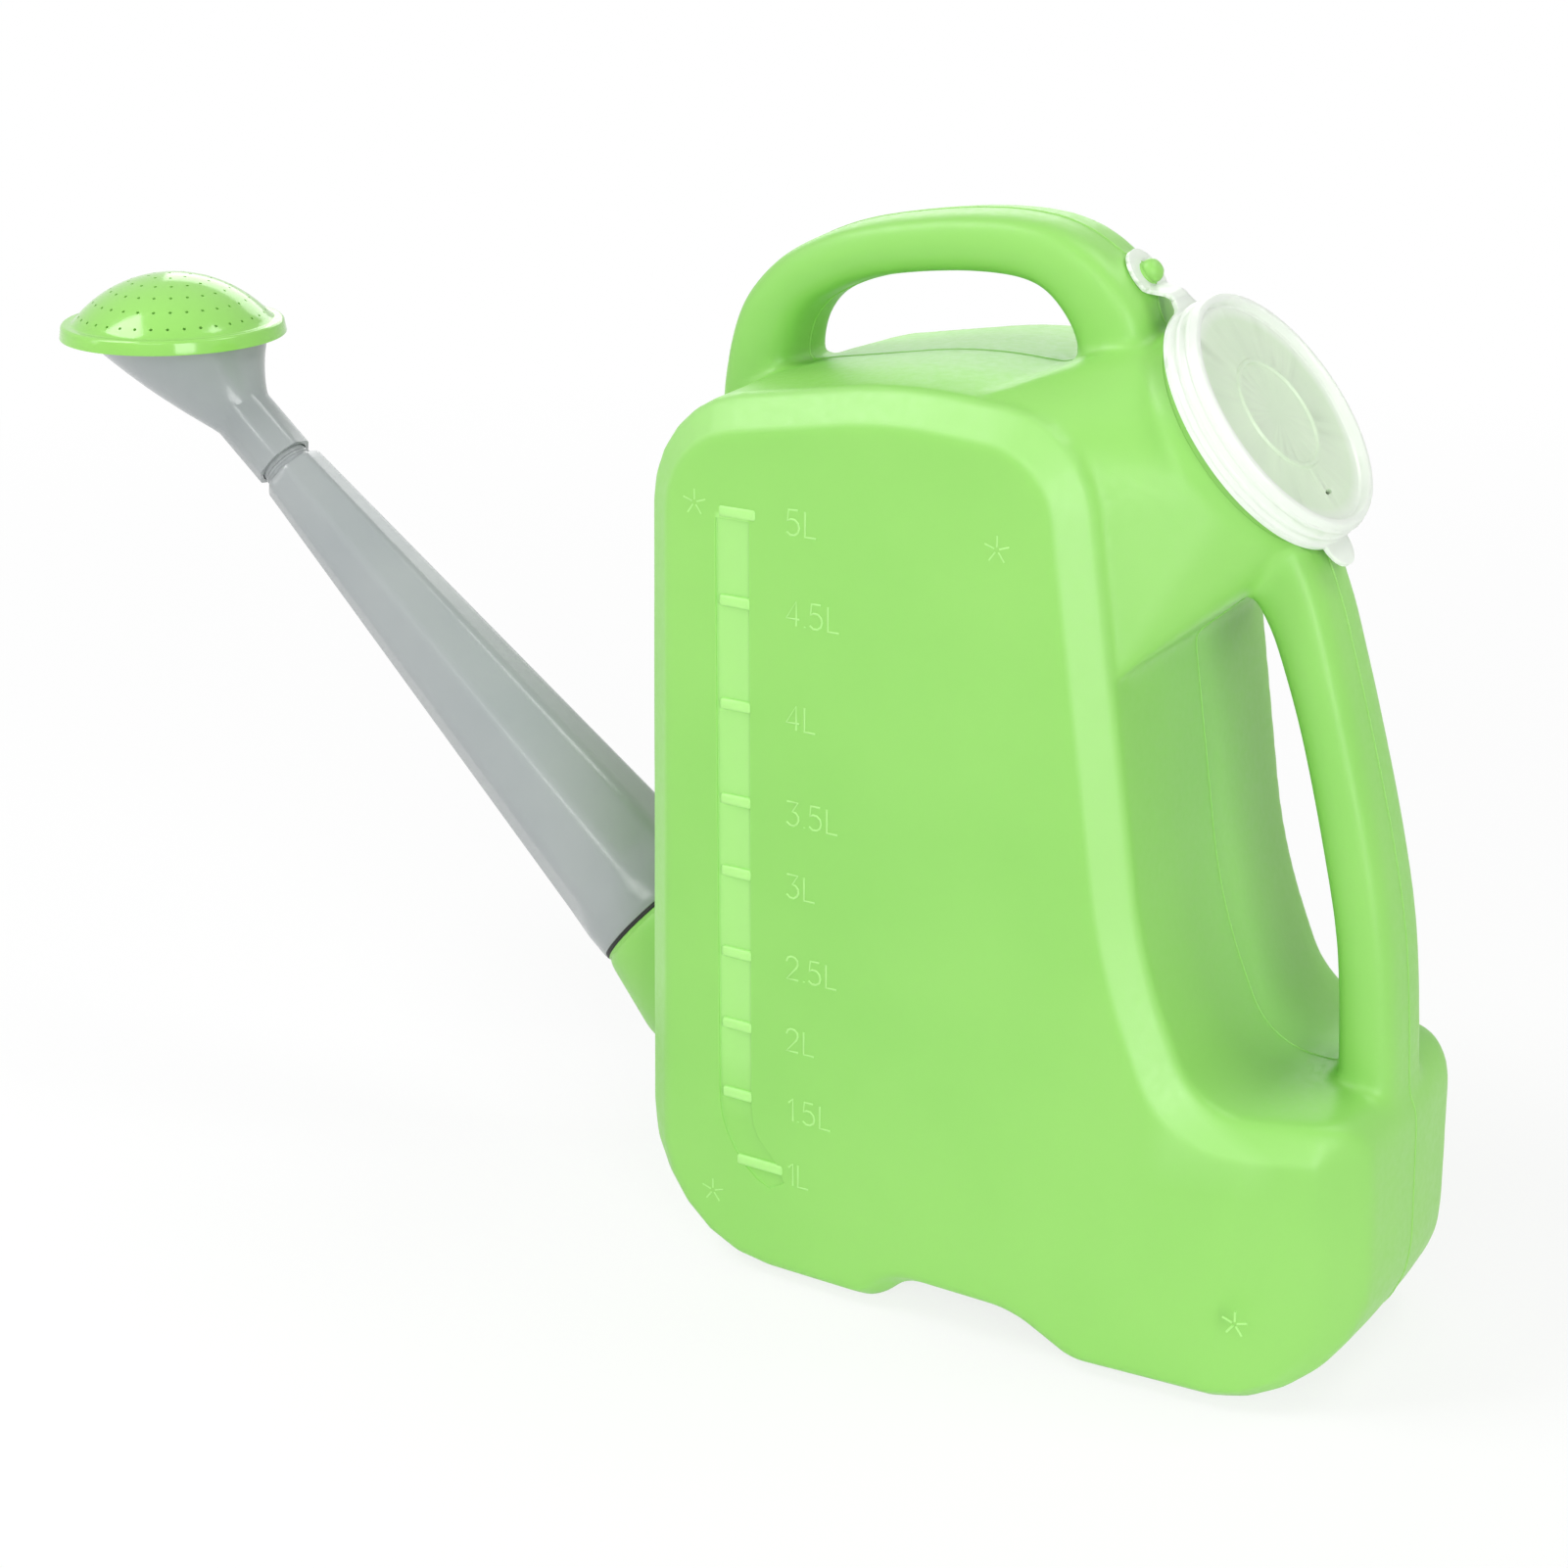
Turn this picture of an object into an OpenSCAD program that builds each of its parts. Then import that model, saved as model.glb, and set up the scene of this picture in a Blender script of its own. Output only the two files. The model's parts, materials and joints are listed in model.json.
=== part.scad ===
// Watering can: a blow-moulded body with two hollow handles and a tilted filler neck,
// a snap lid on a tether, a screwed-on spout with its seal, and a rose that turns on the tip.
// Frame: +X to the rear handle, +Z up, the origin under the middle of the front foot on the ground.
// The modules are drawn about the middle of the body, and standing() sets them in that frame.

/* [Tank] */
// Length of the body from its front wall to its rear wall
body_l = 234; // [226:1:246]
// Width of the body across its flat sides
body_w = 120; // [104:1:132]
// Height of the tank at the top of its arch
tank_h = 286.5; // [280:0.5:292]
// Wall of the blow-moulded shell
wall = 2; // [1.4:0.1:2.6]
// Height of the low rear block behind the grip gap
shelf_h = 90; // [80:1:98]
// How far the bevel round each flat side reaches in from the edge
bevel_in = 9.5; // [6:0.5:10]
// How far the bevel round each flat side reaches across the width
bevel_y = 8; // [5:0.5:10]
// Height of the cross channel under the base
channel_h = 10; // [6:0.5:12]

/* [Filler neck] */
// Tilt of the neck from upright toward the rear
neck_tilt = 51.6; // [48:0.2:55]
// Radius of the bore of the neck
neck_bore_r = 33; // [30:0.5:33]
// Wall of the neck
neck_wall = 2.8; // [2:0.1:3.2]

/* [Handles] */
// Width of both handles
handle_w = 31; // [27:0.5:34]

/* [Lid] */
// Height of the lid from its flange to its rim
lid_h = 10; // [9:0.1:11]
// Thickness of the lid, its flange and its tether
lid_t = 1.4; // [1.1:0.1:1.6]
// Gap between the skirt of the lid and the neck
lid_gap = 0.6; // [0.5:0.05:0.8]
// Radius of the peg that holds the tether
peg_r = 3; // [2.5:0.1:3.5]

/* [Spout] */
// Rise of the spout from level
spout_rise = 40.6; // [38:0.1:43]
// Length of the spout from its seal to the step at its tip
spout_l = 198.7; // [180:0.1:220]
// Radius of the spout over its corners at the wide end
spout_base_r = 24.8; // [24.5:0.1:27]
// Radius of the spout over its corners at the tip
spout_tip_r = 11.6; // [11.4:0.1:13]
// Wall of the spout and of the rose's funnel
spout_wall = 1.8; // [1.4:0.1:2]
// Pitch of the thread between the stub and the spout
thread_pitch = 5; // [4:0.5:6]
// Thickness of the seal under the spout
seal_t = 1.2; // [0.8:0.1:2]

/* [Rose] */
// Radius of the rose over its rim
rose_r = 38.8; // [35:0.1:42]
// Height of the dome over its rim
dome_h = 16; // [13:0.5:18]
// Diameter of each hole in the dome
hole_d = 1.2; // [1:0.1:1.6]
// Spacing of the holes and of their rings
hole_pitch = 5.5; // [5:0.1:7]

/* [Hidden] */
leaf = "#98dd74";
grey = "#a9b1ac";
milky = "#dfeddc";
eps = 0.01;

// ---- tank: a side outline of twelve rounded corners, lofted across the width ----
corner_steps = 7;
// the bevel along the base is this share of the one along the top
foot_bevel = 0.5;
front_x = -body_l / 2;
rear_x = body_l / 2;
// the middle of the front foot's flat lies this far in front of the middle of the body
foot_x = 54;
module standing() translate([foot_x, 0, 0]) children();
top_z = tank_h;
crest_x = -30;
// where the rear wall would meet the top, and how far it runs back for each mm down
wall_top_x = 27.3;
wall_slope = 0.153;
function wall_x(z) = wall_top_x + (top_z - 3 - z) * wall_slope;
knee_z = shelf_h + 43;

// corners as [x, z, radius], along the base to the rear and back over the top
side_corners = [
    [front_x, 0, 47],
    [-33, 0, 14],
    [-22, channel_h, 14],
    [14, channel_h, 24],
    [34, 0, 24],
    [rear_x + 0.8, 0, 38],
    [rear_x - 2.6, shelf_h, 12.5],
    [wall_x(knee_z) + 0.43 * (knee_z - shelf_h), shelf_h, 24],
    [wall_x(knee_z), knee_z, 170],
    [wall_x(top_z - 3), top_z - 3, 31],
    [crest_x, top_z + 1.2, 150],
    [front_x + 4.5, top_z - 13, 36]
];

function unit(v) = v / norm(v);
function normal(a, b) = let (d = unit(b - a)) [d[1], -d[0]];
function cross2(a, b) = a[0] * b[1] - a[1] * b[0];

// the side outline set in by d: every corner keeps its own centre, so outlines stay parallel
function side_outline(d) = let (n = len(side_corners)) [
    for (i = [0 : n - 1])
        let (
            c = side_corners[i],
            p = side_corners[(i + n - 1) % n],
            q = side_corners[(i + 1) % n],
            v = [c[0], c[1]],
            n1 = normal([p[0], p[1]], v),
            n2 = normal(v, [q[0], q[1]]),
            turn = atan2(cross2(n1, n2), n1 * n2),
            s = turn > 0 ? 1 : -1,
            centre = v - s * c[2] * (n1 + n2) / (1 + n1 * n2),
            a0 = atan2(n1[1], n1[0])
        )
        for (k = [0 : corner_steps - 1])
            let (
                a = a0 + turn * k / (corner_steps - 1),
                inset = d * (1 - (1 - foot_bevel) * max(0, -sin(a))),
                reach = s > 0 ? max(c[2] - inset, 0.4) : -c[2] - inset
            )
            centre + reach * [cos(a), sin(a)]
];

// half width of the body at x: flat sides, then an elliptical taper to the narrow rear end
taper_x = 50;
taper_reach = 70;
end_half = 21;
function half_w(x) = x < taper_x
    ? body_w / 2
    : end_half + (body_w / 2 - end_half) * sqrt(max(0, 1 - pow((x - taper_x) / taper_reach, 2)));

// lofts the side outline across the width: levels are [share of the half width, inset]
module across(levels, inset, side) {
    rings = [for (l = levels) side_outline(l[1] + inset)];
    n = len(rings[0]);
    m = len(levels);
    points = [
        for (j = [0 : m - 1])
            for (p = rings[j]) [p[0], levels[j][0] * (half_w(p[0]) - side), max(p[1], inset)]
    ];
    walls = [
        for (j = [0 : m - 2])
            for (i = [0 : n - 1])
                let (k = (i + 1) % n)
                [j * n + i, j * n + k, (j + 1) * n + k, (j + 1) * n + i]
    ];
    // each flat side is a ladder of quads between the base and the top
    ends = [
        for (e = [0, m - 1])
            for (i = [0 : n / 2 - 2])
                let (q = [e * n + i, e * n + i + 1, e * n + n - 2 - i, e * n + n - 1 - i])
                e == 0 ? [q[3], q[2], q[1], q[0]] : q
    ];
    polyhedron(points, concat(walls, ends), convexity = 6);
}

// bevel profile from the flat side inward, as [distance across the width, inset]
bevel = [
    [0, bevel_in + 1.6],
    [0.5, bevel_in + 0.1],
    [bevel_y - 0.9, 1.1],
    [bevel_y + 1.2, 0.2],
    [bevel_y + 6, 0]
];
crown = 1;
half_levels = [for (b = bevel) [-1 + b[0] / (body_w / 2), b[1]]];
levels = concat(
    half_levels,
    [[-0.4, -crown * 0.8], [0, -crown], [0.4, -crown * 0.8]],
    [for (i = [len(bevel) - 1 : -1 : 0]) [-half_levels[i][0], half_levels[i][1]]]
);
inner_levels = [for (i = [0, 1, 3, 6, 9, 11, 12]) levels[i]];

// ---- handles: rounded sections swept along a smoothed centre line ----
// keys are [x, z, half thickness]
top_handle_keys = [
    [front_x + 13.5, tank_h - 60.5, 12],
    [front_x + 13.6, tank_h - 24.5, 12.4],
    [front_x + 16.6, tank_h + 0.5, 10.6],
    [front_x + 23.5, tank_h + 13, 9.2],
    [front_x + 34, tank_h + 21.1, 8.6],
    [-64, tank_h + 28.5, 8.4],
    [-33, tank_h + 33.3, 8.7],
    [-9, tank_h + 32.5, 9.3],
    [5.6, tank_h + 24.1, 10.8],
    [14.6, tank_h + 9.5, 12],
    [18, tank_h - 18.5, 13]
];
rear_handle_keys = [
    [52, tank_h - 38.5, 12],
    [65, tank_h - 46.5, 11.5],
    [73, tank_h - 59, 9.8],
    [78.6, tank_h - 73.5, 9],
    [85.4, tank_h - 94.5, 8.6],
    [93.6, shelf_h + 71.8, 8.8],
    [99.9, shelf_h + 42.3, 8.8],
    [rear_x - 14, shelf_h + 8, 9.2],
    [rear_x - 13, shelf_h - 18, 9.6]
];
key_steps = 3;
function blend(a, b, c, d, t) = 0.5 * (2 * b + (c - a) * t + (2 * a - 5 * b + 4 * c - d) * t * t
    + (3 * b - a - 3 * c + d) * t * t * t);
function smooth(keys) = let (n = len(keys)) concat(
    [
        for (i = [0 : n - 2])
            for (k = [0 : key_steps - 1])
                blend(keys[max(i - 1, 0)], keys[i], keys[i + 1], keys[min(i + 2, n - 1)], k / key_steps)
    ],
    [keys[n - 1]]
);
section_steps = 16;
function squared(v) = sign(v) * pow(abs(v), 0.55);

module swept(keys, width, inset) {
    line = smooth(keys);
    n = len(line);
    m = section_steps;
    points = [
        for (i = [0 : n - 1])
            let (
                a = line[max(i - 1, 0)],
                b = line[min(i + 1, n - 1)],
                out = normal([a[0], a[1]], [b[0], b[1]])
            )
            for (k = [0 : m - 1])
                let (
                    across = squared(cos(360 * k / m)) * (width / 2 - inset),
                    up = squared(sin(360 * k / m)) * (line[i][2] - inset)
                )
                [line[i][0] + out[0] * up, across, line[i][1] + out[1] * up]
    ];
    skin = [
        for (i = [0 : n - 2])
            for (k = [0 : m - 1])
                let (l = (k + 1) % m)
                [i * m + k, i * m + l, (i + 1) * m + l, (i + 1) * m + k]
    ];
    polyhedron(
        points,
        concat(skin, [[for (k = [m - 1 : -1 : 0]) k], [for (k = [0 : m - 1]) (n - 1) * m + k]]),
        convexity = 6
    );
}

// ---- filler neck: local +Z along its axis, local -X up to the tether peg ----
lid_centre = [55, 0, tank_h - 11.1];
module at_neck() translate(lid_centre) rotate([0, neck_tilt, 0]) children();
neck_r = neck_bore_r + neck_wall;
// the lip stands this far above the flange of the lid
lip_z = 5.7;
shoulder_z = -9;
shoulder_floor = tank_h - 74.5;

// the corner of the tank drawn out to the neck
module shoulder(inset) hull() {
    at_neck() translate([0, 0, shoulder_z - 1 - inset]) cylinder(r = neck_r + 1 - inset, h = 1, $fn = 48);
    rotate([90, 0, 0]) linear_extrude(body_w - 2 * bevel_y - 4 - 2 * inset, center = true)
        intersection() {
            polygon(side_outline(0.6 + inset));
            translate([-8, shoulder_floor + inset]) square([60, 90]);
        }
}

// ---- spout: local +Z up along its axis from the seal ----
spout_foot = [-146.7, 0, 87.2];
module at_spout() translate(spout_foot) rotate([0, spout_rise - 90, 0]) children();
collar_l = 14;
// the stub widens evenly over this length, then runs into the front wall
stub_l = 28;
stub_r = spout_base_r + 4.4;
collar_h = 1.5;
root_in = 9;
root_drop = 27;
thread_h = 1.2;
spigot_l = 13;
spigot_r = spout_base_r - 4.6;
socket_r = spigot_r + thread_h + 0.5;
stub_bore_r = spigot_r - 2.6;

// ---- tether: an eye on a peg above the lid, bent at its neck ----
flange_r = neck_r + lid_gap + 2.6;
hinge_x = flange_r + 2.6;
peg_x = hinge_x + 11;
// the eye lies this far below the bend's underside
eye_drop = 4.6;
eye_r = 8.2;
strap_w = 9;

// ---- rose: a face that looks straight up at the end of an oblique funnel ----
rose_axis_l = 66.5;
rose_drop = 0.9;
rose_centre = [
    spout_foot[0] - (spout_l + rose_axis_l) * cos(spout_rise),
    0,
    spout_foot[2] + (spout_l + rose_axis_l) * sin(spout_rise) - rose_drop
];
module at_rose() translate(rose_centre) children();
tip_r = spout_tip_r - 3;
tip_l = 22;
tip_show = 4.5;
tip_gap = 0.3;
rim_h = 4.6;
face_t = 1.6;
mouth_r = rose_r - 7.6;
mouth_shift = 2;

// the flared stub that carries the spout, run out of the front wall above its lower corner;
// it is turned a little on its axis so that none of its edges runs along an edge of the wall
module stub(inset) hull() {
    at_spout() translate([0, 0, -seal_t - collar_h - (inset > 0 ? 0 : 1)])
        rotate(3.1) cylinder(r = spout_base_r + 0.3 - inset, h = 1, $fn = 48);
    at_spout() translate([0, 0, -seal_t - stub_l]) rotate(3.1) cylinder(r = stub_r - inset, h = 1, $fn = 48);
    translate([front_x + root_in, 0, spout_foot[2] - root_drop]) rotate([0, 90, 0])
        rotate(3.1) cylinder(r = stub_r + 1.6 - inset, h = 1, $fn = 48);
}

// the blow-moulded shell as one mesh, open where the neck and the spout's spigot join it
module can_shell() resize([0, 0, 0]) difference() {
    union() {
        across(levels, 0, 0);
        shoulder(0);
        swept(top_handle_keys, handle_w, 0);
        swept(rear_handle_keys, handle_w, 0);
        stub(0);
    }
    across(inner_levels, wall, wall);
    shoulder(wall);
    swept(top_handle_keys, handle_w, wall);
    swept(rear_handle_keys, handle_w, wall);
    at_neck() translate([0, 0, shoulder_z - 20]) cylinder(r = neck_bore_r + neck_wall / 2, h = 40, $fn = 64);
    stub(wall);
}

module filler_neck() at_neck() rotate_extrude($fn = 96) polygon([
    [neck_bore_r, shoulder_z - 3.5],
    [neck_r, shoulder_z - 3.5],
    [neck_r, lip_z - 0.6],
    [neck_r - 0.6, lip_z],
    [neck_bore_r + 0.6, lip_z],
    [neck_bore_r, lip_z - 0.6]
]);

// the end of the stub: a collar set in its open end, with the threaded spigot on it
module spout_spigot() at_spout() rotate_extrude($fn = 96) polygon([
    [spout_base_r - wall, -seal_t - 3 * wall],
    [spout_base_r, -seal_t - 3 * wall],
    [spout_base_r, -seal_t],
    [spigot_r, -seal_t],
    [spigot_r, spigot_l - 1],
    [spigot_r - 1, spigot_l],
    [stub_bore_r, spigot_l],
    [stub_bore_r, -seal_t - wall],
    [spout_base_r - wall, -seal_t - wall]
]);

// the seat and the headed peg that the eye of the tether is pressed over
module tether_peg() at_neck() translate([-peg_x, 0, -eye_drop]) {
    translate([0, 0, -10]) cylinder(r = eye_r - 0.6, h = 10, $fn = 48);
    rotate_extrude($fn = 48) polygon([
        [0, -1],
        [peg_r, -1],
        [peg_r, lid_t + 0.2],
        [peg_r + 0.6, lid_t + 0.4],
        [peg_r + 0.3, lid_t + 2.4],
        [peg_r - 1.3, lid_t + 3.8],
        [0, lid_t + 4]
    ]);
}

module can_body() color(leaf) {
    can_shell();
    filler_neck();
    spout_spigot();
    tether_peg();
}

// a flat strap of the tether from x0 to x1, its top in the plane of the bend
module strap(x0, x1, w) translate([x0, -w / 2, 0]) cube([x1 - x0, w, lid_t]);

skirt_in = neck_r + lid_gap;
skirt_out = skirt_in + lid_t + 0.1;
module lid() color(milky) at_neck() difference() {
    union() {
        rotate_extrude($fn = 96) polygon([
            [skirt_in, 0],
            [flange_r, 0],
            [flange_r, lid_t],
            [skirt_out, lid_t],
            [skirt_out, lid_h - 0.8],
            [skirt_out - 0.8, lid_h],
            [skirt_out - 2.4, lid_h],
            [skirt_out - 3.6, lip_z + lid_t],
            [ring_r + 0.5, lip_z + lid_t],
            [ring_r + 0.5, lip_z + lid_t + 0.5],
            [ring_r - 0.5, lip_z + lid_t + 0.5],
            [ring_r - 0.5, lip_z + lid_t],
            [0, lip_z + lid_t],
            [0, lip_z],
            [skirt_in - 1.4, lip_z],
            [skirt_in - 0.6, lid_h - lid_t],
            [skirt_in, lid_h - lid_t]
        ]);
        difference() {
            union() {
                strap(-hinge_x, 0, strap_w);
                linear_extrude(lid_t) polygon([
                    [0, -tab_w / 2],
                    [flange_r + tab_l - 3, -tab_w / 2],
                    [flange_r + tab_l, -tab_w / 2 + 4],
                    [flange_r + tab_l, tab_w / 2 - 4],
                    [flange_r + tab_l - 3, tab_w / 2],
                    [0, tab_w / 2]
                ]);
            }
            translate([0, 0, -1]) cylinder(r = flange_r - 1, h = lid_t + 2, $fn = 96);
        }
    }
    translate([vent_x, 0, lip_z - 1]) cylinder(d = vent_d, h = lid_t + 3, $fn = 24);
}
ring_r = 16.5;
tab_w = 15;
tab_l = 7;
vent_x = 26;
vent_d = 1.6;

// from the bend the strap ramps down to the eye, which is pressed over the peg
module lid_tether() color(milky) at_neck() difference() {
    union() {
        rotate([90, 0, 0]) linear_extrude(strap_w, center = true) polygon([
            [-hinge_x, 0],
            [-hinge_x, lid_t],
            [-hinge_x - 1.2, lid_t],
            [-peg_x + eye_r - 2, lid_t - eye_drop],
            [-peg_x, lid_t - eye_drop],
            [-peg_x, -eye_drop],
            [-peg_x + eye_r - 2.6, -eye_drop],
            [-hinge_x - 0.6, 0]
        ]);
        translate([-peg_x, 0, -eye_drop]) cylinder(r = eye_r, h = lid_t, $fn = 64);
    }
    translate([-peg_x, 0, -eye_drop - 1]) cylinder(r = peg_r + 0.05, h = lid_t + 2, $fn = 48);
}

module spout_seal() color("#20201f") at_spout() translate([0, 0, -seal_t]) difference() {
    cylinder(r = spout_base_r - 0.6, h = seal_t, $fn = 96);
    translate([0, 0, -1]) cylinder(r = spigot_r + thread_h + 0.3, h = seal_t + 2, $fn = 96);
}

// an eight-sided tube with rounded ridges: stations are [z, radius over the corners, ridge]
corner_points = 4;
function octagon(r, ridge) = [
    for (i = [0 : 7])
        for (k = [0 : corner_points - 1])
            let (
                a = 45 * i,
                b = a + 45 * (k / (corner_points - 1) - 0.5) ,
                c = r - ridge / cos(22.5)
            )
            [c * cos(a) + ridge * cos(b), c * sin(a) + ridge * sin(b)]
];
module eight_sided(stations) {
    rings = [for (s = stations) octagon(s[1], s[2])];
    n = len(rings[0]);
    m = len(stations);
    points = [for (j = [0 : m - 1]) for (p = rings[j]) [p[0], p[1], stations[j][0]]];
    skin = [
        for (j = [0 : m - 2])
            for (i = [0 : n - 1])
                let (k = (i + 1) % n)
                [j * n + i, (j + 1) * n + i, (j + 1) * n + k, j * n + k]
    ];
    ends = [[for (i = [0 : n - 1]) i], [for (i = [n - 1 : -1 : 0]) (m - 1) * n + i]];
    polyhedron(points, concat(skin, ends), convexity = 4);
}

module spout_tube() color(grey) at_spout() difference() {
    union() {
        cylinder(r = spout_base_r, h = collar_l, $fn = 96);
        eight_sided([
            [collar_l - 4, spout_base_r * 0.96, spout_base_r * 0.3],
            [collar_l + 6, spout_base_r, spout_base_r * 0.3],
            [spout_l, spout_tip_r, spout_tip_r * 0.3]
        ]);
        translate([0, 0, spout_l - 1]) cylinder(r = tip_r, h = tip_l + 1, $fn = 64);
    }
    rotate_extrude($fn = 96) polygon([
        [0, -1],
        [socket_r, -1],
        [socket_r, collar_l],
        [spout_base_r * cos(22.5) - spout_wall - 1.2, collar_l + 2],
        [tip_r - spout_wall, spout_l - 6],
        [tip_r - spout_wall, spout_l + tip_l + 1],
        [0, spout_l + tip_l + 1]
    ]);
}

// the oblique funnel: circles that turn from the spout's axis to the upright axis of the rose
funnel_steps = 5;
funnel_sides = 40;
socket_l = tip_l + 5;
funnel_top = rose_centre + [mouth_shift, 0, 0];
funnel_foot = spout_foot + (spout_l + socket_l) * [-cos(spout_rise), 0, sin(spout_rise)];
funnel_foot_r = spout_tip_r - 1;
function funnel_ring(t, inset) = let (
    lean = (90 - spout_rise) * (1 - t),
    c = funnel_foot + (funnel_top - funnel_foot) * t,
    r = funnel_foot_r + (mouth_r - funnel_foot_r) * pow(t, 1.15) - inset
) [
    for (i = [0 : funnel_sides - 1])
        let (a = 360 * i / funnel_sides, u = r * cos(a))
        c + [u * cos(lean), r * sin(a), u * sin(lean)]
];
module funnel(inset, under, over) {
    n = funnel_sides;
    low = [for (p = funnel_ring(0, inset)) p - under * [-cos(spout_rise), 0, sin(spout_rise)]];
    high = [for (p = funnel_ring(1, inset)) p + [0, 0, over]];
    rings = concat([low], [for (j = [0 : funnel_steps]) funnel_ring(j / funnel_steps, inset)], [high]);
    m = len(rings);
    skin = [
        for (j = [0 : m - 2])
            for (i = [0 : n - 1])
                let (k = (i + 1) % n)
                [j * n + i, (j + 1) * n + i, (j + 1) * n + k, j * n + k]
    ];
    polyhedron(
        [for (r = rings) for (p = r) p],
        concat(skin, [[for (i = [0 : n - 1]) i], [for (i = [n - 1 : -1 : 0]) (m - 1) * n + i]]),
        convexity = 4
    );
}

module rose_funnel() color(grey) difference() {
    union() {
        funnel(0, 2, rim_h - face_t - 0.8);
        translate(rose_centre + [0, 0, rim_h - 2 * face_t])
            cylinder(r = rose_r - face_t - 0.3, h = face_t, $fn = 96);
        at_spout() translate([0, 0, spout_l + tip_show])
            cylinder(r = funnel_foot_r, h = socket_l - tip_show, $fn = 8);
    }
    funnel(spout_wall, 1, rim_h);
    at_spout() translate([0, 0, spout_l - 1]) cylinder(r = tip_r + tip_gap, h = socket_l + 6, $fn = 64);
}

// a domed face over a rim that clips round the funnel's mouth
dome_r = rose_r - 4.6;
sphere_r = (dome_r * dome_r + dome_h * dome_h) / (2 * dome_h);
dome_steps = 10;
function dome_arc(r, top) = let (a = asin(dome_r / sphere_r)) [
    for (i = [0 : dome_steps])
        let (b = a * (1 - i / dome_steps))
        [r * sin(b), top - sphere_r + r * cos(b)]
];
hole_rings = floor((dome_r - 2) / hole_pitch);
module rose_face() color(leaf) at_rose() difference() {
    rotate_extrude($fn = 96) polygon(concat(
        [[rose_r - face_t, 0], [rose_r, 0], [rose_r - 0.9, rim_h], [rose_r - 1.5, rim_h + 0.4]],
        dome_arc(sphere_r, rim_h + 0.4 + dome_h),
        [for (i = [dome_steps : -1 : 1]) dome_arc(sphere_r - face_t, rim_h + 0.4 + dome_h)[i]],
        [[dome_r - 1.4, rim_h - face_t], [rose_r - face_t, rim_h - face_t]]
    ));
    for (k = [0 : hole_rings])
        for (i = [0 : max(0, 6 * k - 1)])
            translate([0, 0, rim_h + 0.4 + dome_h - sphere_r])
                rotate([0, hole_pitch * k / sphere_r * 180 / PI, k == 0 ? 0 : 360 * i / (6 * k)])
                    translate([0, 0, sphere_r - 4]) cylinder(d = hole_d, h = 8, $fn = 16);
}

standing() can_body();
standing() lid();
standing() lid_tether();
standing() spout_seal();
standing() spout_tube();
standing() rose_funnel();
standing() rose_face();
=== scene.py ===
"""A green blow-moulded watering can with a milky lid, a grey spout and a green rose, in a pale studio."""
import json
import math

import bpy
from mathutils import Matrix, Vector

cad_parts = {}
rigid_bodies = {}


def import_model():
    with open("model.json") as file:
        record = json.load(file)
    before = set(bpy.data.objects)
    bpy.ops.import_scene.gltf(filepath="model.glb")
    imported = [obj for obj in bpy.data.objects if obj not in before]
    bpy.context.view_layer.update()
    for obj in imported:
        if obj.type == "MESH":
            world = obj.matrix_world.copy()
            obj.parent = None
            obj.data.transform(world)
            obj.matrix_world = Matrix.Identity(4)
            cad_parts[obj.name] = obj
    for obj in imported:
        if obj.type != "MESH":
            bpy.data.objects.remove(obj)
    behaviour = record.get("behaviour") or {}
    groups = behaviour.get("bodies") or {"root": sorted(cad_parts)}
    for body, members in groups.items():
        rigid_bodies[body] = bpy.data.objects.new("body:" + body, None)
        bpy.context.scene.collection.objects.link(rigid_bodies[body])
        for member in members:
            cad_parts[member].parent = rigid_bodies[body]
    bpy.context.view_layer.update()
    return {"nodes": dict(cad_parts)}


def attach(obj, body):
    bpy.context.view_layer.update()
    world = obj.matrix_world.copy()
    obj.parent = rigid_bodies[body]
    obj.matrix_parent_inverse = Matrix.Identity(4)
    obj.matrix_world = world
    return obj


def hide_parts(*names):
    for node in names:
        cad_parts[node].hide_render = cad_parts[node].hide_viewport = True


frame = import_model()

nodes = frame["nodes"]
MM = 0.001

# ---- sizes, in millimetres about the middle of the body; the frame has that middle FOOT_X along its X ----
FOOT_X = 54.0
NECK_TILT = 51.6
LID_CENTRE = (55.0, 0.0, 275.4)
# along the lid's own X: the living hinge, and the eye of the tether with its drop under the lid's flange
HINGE_X = -41.6
EYE_X = -52.6
EYE_DROP = 4.6
FLANGE_T = 1.38
SPOUT_RISE = 40.6
SPOUT_FOOT = (-146.7, 0.0, 87.2)
SPOUT_L = 198.7
SPOUT_BASE_R = 24.8
SPOUT_TIP_R = 11.6
TIP_R = 8.6
TIP_L = 22.0
ROSE_R = 38.8
RIM_H = 4.6
DOME_R = 34.2
DOME_H = 16.0
HOLE_PITCH = 7.1
HOLE_GAP = 5.5
HOLE_R = 0.55
HOLE_RINGS = 6
SIDE_Y = -60.0
FACET_TURN = math.radians(11.25)
RIDGE_SHARE = 0.36

can_place = Matrix.Translation((FOOT_X * MM, 0, 0)) @ Matrix.Scale(MM, 4)


def local_frame(centre, lean):
    """The frame of the neck or the spout: its own Z runs along its axis, and its unit is a millimetre."""
    return can_place @ Matrix.Translation(centre) @ Matrix.Rotation(math.radians(lean), 4, "Y")


neck_place = local_frame(LID_CENTRE, NECK_TILT)
spout_place = local_frame(SPOUT_FOOT, SPOUT_RISE - 90)
spout_axis = Vector((-math.cos(math.radians(SPOUT_RISE)), 0, math.sin(math.radians(SPOUT_RISE))))
rose_centre = Vector(SPOUT_FOOT) + spout_axis * (SPOUT_L + 66.5) - Vector((0, 0, 0.9))
rose_place = can_place @ Matrix.Translation(rose_centre)


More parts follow.
